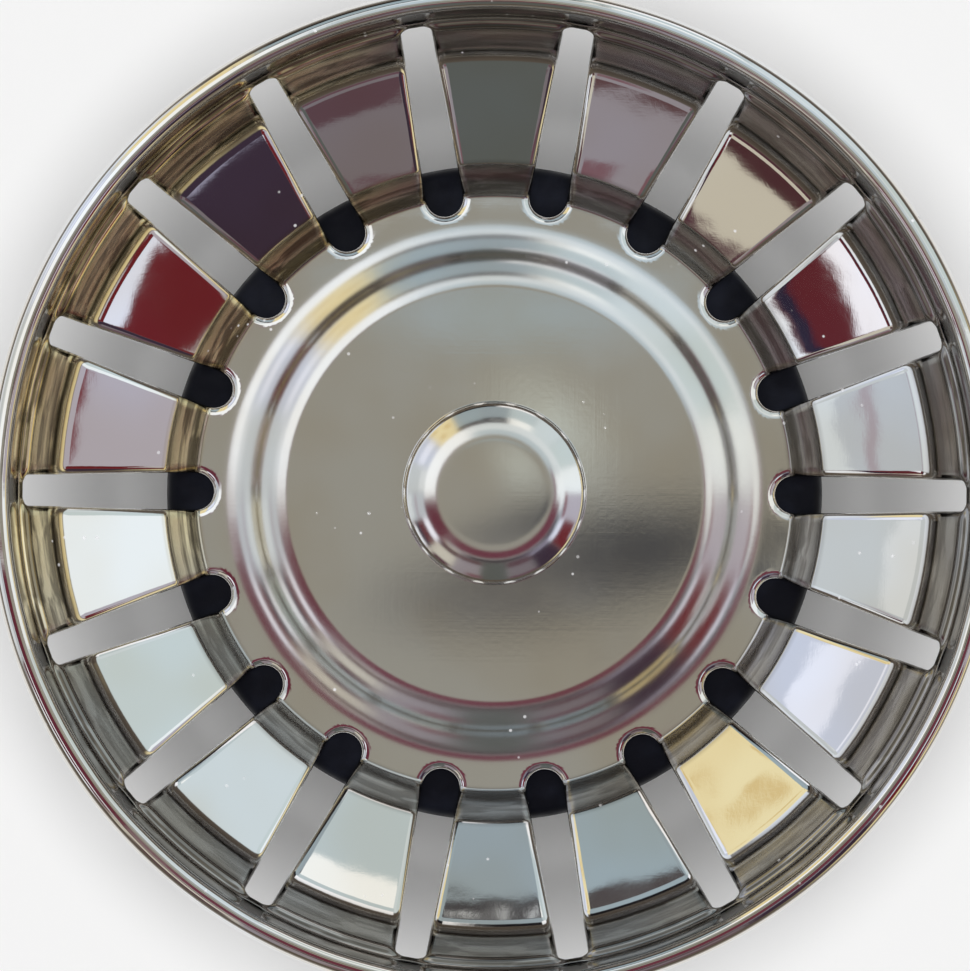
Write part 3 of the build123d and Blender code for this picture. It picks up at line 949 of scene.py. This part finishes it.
# %% Material kit
class Finish:
    """One material, with short ways to add and join its nodes."""

    def __init__(self, name, **sockets):
        self.material = bpy.data.materials.new(name)
        self.material.use_nodes = True
        self.tree = self.material.node_tree
        self.shader = self.tree.nodes["Principled BSDF"]
        for socket, value in sockets.items():
            socket = socket.replace("_", " ").title().replace("Ior", "IOR")
            self.shader.inputs[socket].default_value = value
        self.place = self.tree.nodes.new("ShaderNodeTexCoord").outputs["Object"]

    def add(self, kind, joins=None, outputs=0, **settings):
        """A node with its inputs set or joined, and its first output unless asked."""
        node = self.tree.nodes.new(kind)
        for name, value in settings.items():
            setattr(node, name, value)
        for socket, value in (joins or {}).items():
            feed(self.tree, node.inputs[socket], value)
        return node.outputs[outputs]

    def noise(self, size, detail=2.0, stretch=None, roughness=0.5):
        """Noise whose blotches are about so many millimetres across."""
        place = self.place
        if stretch:
            place = self.add("ShaderNodeMapping", {"Vector": place, "Scale": stretch})
        joins = {"Vector": place, "Scale": 1 / (size * mm)}
        joins |= {"Detail": detail, "Roughness": roughness}
        return self.add("ShaderNodeTexNoise", joins)

    def from_stem(self):
        """Distance from the stem's axis, in metres."""
        flat = self.add("ShaderNodeVectorMath", {0: self.place, 1: (1, 1, 0)}, operation="MULTIPLY")
        return self.add("ShaderNodeVectorMath", {0: flat}, "Value", operation="LENGTH")

    def rings(self, pitch):
        """The fine rings of a turning tool, at a pitch in millimetres."""
        turns = self.math("MULTIPLY", self.from_stem(), math.tau / (pitch * mm))
        return self.math("SINE", turns, 0)

    def ramp(self, value, low, high, to_low=0.0, to_high=1.0):
        """Maps a value from one range to another, softly at both ends."""
        joins = {"Value": value, "From Min": low, "From Max": high}
        joins |= {"To Min": to_low, "To Max": to_high}
        return self.add("ShaderNodeMapRange", joins, interpolation_type="SMOOTHSTEP")

    def math(self, operation, a, b):
        """One step of arithmetic on numbers or sockets."""
        return join_math(self.tree, operation, a, b)

    def mix(self, share, a, b):
        """A colour between two colours."""
        node = self.tree.nodes.new("ShaderNodeMix")
        node.data_type = "RGBA"
        for socket, value in (("Factor", share), ("A", a), ("B", b)):
            kind = "VALUE" if socket == "Factor" else "RGBA"
            slots = [s for s in node.inputs if s.name == socket and s.type == kind]
            feed(self.tree, slots[0], value)
        return [s for s in node.outputs if s.type == "RGBA"][0]

    def bump(self, height, depth, under=None):
        """Bump of a real depth in millimetres, over an earlier bump if there is one."""
        joins = {"Height": height, "Distance": depth * mm, "Strength": 1.0}
        if under:
            joins["Normal"] = under
        return self.add("ShaderNodeBump", joins)

    def join(self, socket, value):
        """Joins a value to a socket of the shader."""
        self.tree.links.new(value, self.shader.inputs[socket])


def wear(piece, finish):
    """Gives a piece one finish, in place of any that it has."""
    piece.data.materials.clear()
    piece.data.materials.append(finish.material)


print("kit ready")

# %% [markdown]
# ## Polished steel
#
# The bowl has been polished on a wheel. It mirrors sharply on the panels and the knob, and
# more softly in the middle and on the flank. The two steep bands are a little duller, and their
# colour is painted dark brown: painted shade for the dim low room that they mirror. Painted
# highlight streaks run along them, lighter and warmer on one side. The sheet is a little wavy
# and has fine scratches. Its underside was never polished and is satin.

# %% Polished steel finish
# The side where the steep bands get a painted warm highlight.
painted_highlight_way = math.radians(152)
zone_fade = 0.4
streak_width = 0.45
speck_pitch = 1.5


def polished_steel(name, rings=()):
    """Mirror steel with zones about the stem: (inner mm, outer mm, satin, painted shade)."""
    steel = Finish(name)
    reach = steel.from_stem()
    satin, painted_band_shade = 0.05, 0.0
    # Each zone adds its roughness and its painted darkening, which is the painted shade of the
    # steep bands.
    for inner, outer, more_satin, painted_darkening in rings:
        begin = steel.ramp(reach, (inner - zone_fade) * mm, (inner + zone_fade) * mm)
        end = steel.ramp(reach, (outer - zone_fade) * mm, (outer + zone_fade) * mm, 1.0, 0.0)
        zone = steel.math("MULTIPLY", begin, end)
        satin = steel.math("ADD", satin, steel.math("MULTIPLY", zone, more_satin))
        painted_band_shade = steel.math("ADD", painted_band_shade, steel.math("MULTIPLY", zone, painted_darkening))
    wander = steel.math("MULTIPLY", steel.noise(9.0), 2 * mm)
    across = steel.add("ShaderNodeCombineXYZ", {"X": reach, "Y": wander})
    streak = {"Vector": across, "Scale": 1 / (streak_width * mm), "Detail": 2.0}
    streak = steel.add("ShaderNodeTexNoise", streak)
    # Painted highlight: streaks that lighten the bands' painted shade, most on the lit side.
    facing = {0: steel.place, 1: (math.cos(painted_highlight_way), math.sin(painted_highlight_way), 0)}
    facing = steel.add("ShaderNodeVectorMath", facing, "Value", operation="DOT_PRODUCT")
    lit_side = steel.ramp(steel.math("DIVIDE", facing, reach), 0.5, 0.9)
    highlight_streaks = steel.ramp(streak, 0.42, 0.6)
    painted_highlight = steel.math("MULTIPLY", highlight_streaks, steel.ramp(lit_side, 0, 1, 0.3, 1.0))
    # Share of painted warm highlight colour, on the lit side of the bands.
    warm_highlight_share = steel.math("MULTIPLY", steel.math("MULTIPLY", painted_band_shade, lit_side), 0.9)
    painted_band_shade = steel.math("MULTIPLY", painted_band_shade, steel.math("SUBTRACT", 1.0, painted_highlight))
    wave_depth = steel.ramp(reach, 17 * mm, 27 * mm, 0.05, 1.0)
    wave = steel.math("MULTIPLY", steel.noise(7.0, detail=1.5), wave_depth)
    scratch_a = steel.noise(1.2, detail=4.0, stretch=(1.0, 0.02, 1.0), roughness=0.8)
    scratch_b = steel.noise(1.5, detail=4.0, stretch=(0.02, 1.0, 1.0), roughness=0.8)
    bump = steel.bump(wave, 0.11)
    bump = steel.bump(steel.noise(0.5, detail=2.0), 0.0012, bump)
    bump = steel.bump(steel.math("MAXIMUM", scratch_a, scratch_b), 0.0025, bump)
    steel.join("Normal", bump)
    smear = steel.ramp(steel.noise(5.0, detail=3.0), 0.45, 0.75, 0.0, 0.03)
    steel.join("Roughness", steel.math("ADD", satin, smear))
    warm, cool = paint(226, 222, 215), paint(232, 233, 234)
    clean = steel.mix(steel.ramp(steel.noise(14.0), 0.35, 0.65), warm, cool)
    # Painted shade turns the bands dark brown, and a painted warm highlight turns them straw on the
    # lit side.
    tone_and_painted_light = steel.mix(painted_band_shade, steel.mix(warm_highlight_share, clean, paint(246, 222, 150)), paint(62, 52, 42))
    cells = {"Vector": steel.place, "Scale": 1 / (speck_pitch * mm), "Randomness": 1.0}
    spots = steel.add("ShaderNodeTexVoronoi", cells)
    some = steel.ramp(steel.noise(8.0, detail=1.0), 0.56, 0.66)
    speck = steel.math("MULTIPLY", steel.ramp(spots, 0.06, 0.12, 1.0, 0.0), some)
    steel.join("Base Color", steel.mix(speck, tone_and_painted_light, paint(238, 238, 240)))
    steel.join("Metallic", steel.math("SUBTRACT", 1.0, steel.math("MULTIPLY", speck, 0.7)))
    return steel


def satin_steel(name):
    """Steel as the rolling mill leaves it, a little darker and not polished."""
    steel = Finish(name, metallic=1.0)
    grain = steel.noise(0.6, detail=4.0, stretch=(1.0, 0.05, 1.0), roughness=0.7)
    steel.join("Normal", steel.bump(grain, 0.004, steel.bump(steel.noise(7.0), 0.06)))
    steel.join("Roughness", steel.ramp(steel.noise(4.0, detail=3.0), 0.3, 0.7, 0.24, 0.34))
    cloud = steel.ramp(steel.noise(9.0, detail=3.0), 0.35, 0.7)
    steel.join("Base Color", steel.mix(cloud, paint(156, 154, 150), paint(136, 133, 128)))
    return steel


# The last two zones are the steep bands, and they get painted shade.
steel_rings = [
    (0.0, 17.2, 0.035, 0.0),
    (17.2, 22.3, 0.12, 0.0),
    (24.4, 26.9, 0.12, 0.74),
    (35.0, 37.85, 0.08, 0.74),
]
basket_steel = polished_steel("polished_basket_steel", steel_rings)
knob_steel = polished_steel("polished_knob_steel", [(0.0, 9.0, 0.07, 0.0)])
basket_underside = satin_steel("satin_basket_underside")
wear(basket, basket_steel)
basket.data.materials.append(basket_underside.material)
basket.data.polygons.foreach_set("material_index", is_underside.astype(np.int32))
wear(knob, knob_steel)
print("steel finishes:", basket_steel.material.name, knob_steel.material.name)

# %% [markdown]
# ## Turned steel, rubber, nylon and brass
#
# The hidden hardware is plainer. Turned steel keeps the fine rings of the tool, rubber is
# dull with a skin like orange peel, nylon has a moulded sheen, and brass is warm with a
# little tarnish in it.

# %% Hardware finishes
def turned_steel(name):
    """Steel from a lathe, with rings about the stem."""
    steel = Finish(name, metallic=1.0, base_color=paint(196, 196, 198))
    bump = steel.bump(steel.rings(0.12), 0.0012)
    steel.join("Normal", steel.bump(steel.noise(0.8, detail=4.0), 0.01, bump))
    steel.join("Roughness", steel.ramp(steel.noise(3.0, detail=3.0), 0.3, 0.7, 0.22, 0.38))
    return steel


def moulded(name, colours, blotch, roughness, skin, depth, **sockets):
    """A black moulded material: its two colours, its blotches, its sheen and its skin."""
    black = Finish(name, **sockets)
    grey = black.ramp(black.noise(blotch[0], detail=4.0), 0.4, 0.75)
    black.join("Base Color", black.mix(grey, *colours))
    black.join("Roughness", black.ramp(black.noise(blotch[1], detail=3.0), 0.3, 0.7, *roughness))
    black.join("Normal", black.bump(skin(black), depth))
    return black


def brass(name):
    """Turned brass with a little tarnish."""
    gold = Finish(name, metallic=1.0)
    tarnish = gold.ramp(gold.noise(1.8, detail=5.0, roughness=0.6), 0.45, 0.7)
    gold.join("Base Color", gold.mix(tarnish, paint(218, 184, 108), paint(160, 122, 62)))
    gold.join("Roughness", gold.ramp(gold.noise(2.5, detail=3.0), 0.3, 0.7, 0.2, 0.36))
    bump = gold.bump(gold.rings(0.14), 0.0012)
    gold.join("Normal", gold.bump(gold.noise(0.9, detail=4.0), 0.01, bump))
    return gold


hardware_steel = turned_steel("turned_hardware_steel")
seal_rubber = moulded(
    "moulded_black_rubber", (paint(8, 9, 15), paint(20, 22, 30)), (4.0, 1.5), (0.42, 0.6),
    lambda black: black.noise(0.25, detail=3.0), 0.012, specular_ior_level=0.15,
)
bush_nylon = moulded(
    "moulded_black_nylon", (paint(24, 24, 25), paint(42, 42, 43)), (2.0, 0.8), (0.34, 0.48),
    lambda black: black.noise(0.3, detail=2.0), 0.01,
)
drain_brass = brass("turned_brass")
for piece in (stem, *plates, jam_nut):
    wear(piece, hardware_steel)
wear(seal, seal_rubber)
wear(bush, bush_nylon)
wear(bush_nut, drain_brass)
for finish in (hardware_steel, seal_rubber, bush_nylon, drain_brass):
    print("finish:", finish.material.name)

# %% [markdown]
# ## Pieces kept from the frame
#
# The washers, the catch and the knob's core already have their right shape in the frame.
# They keep it, and take a finish.

# %% Finishes for the kept pieces
steel_pieces = ["bush_washer", "lock_washer", "knob_core"]
steel_pieces += ["catch_ball_left", "catch_ball_right", "catch_spring"]
kept_pieces = dict.fromkeys(steel_pieces, hardware_steel)
kept_pieces |= {"grip_ring": seal_rubber, "catch_barrel": drain_brass}
for node, finish in kept_pieces.items():
    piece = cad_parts[node]
    slots = piece.material_slots
    if not slots:
        piece.data.materials.append(finish.material)
    for slot in slots:
        slot.material = finish.material
print("kept pieces:", len(kept_pieces))
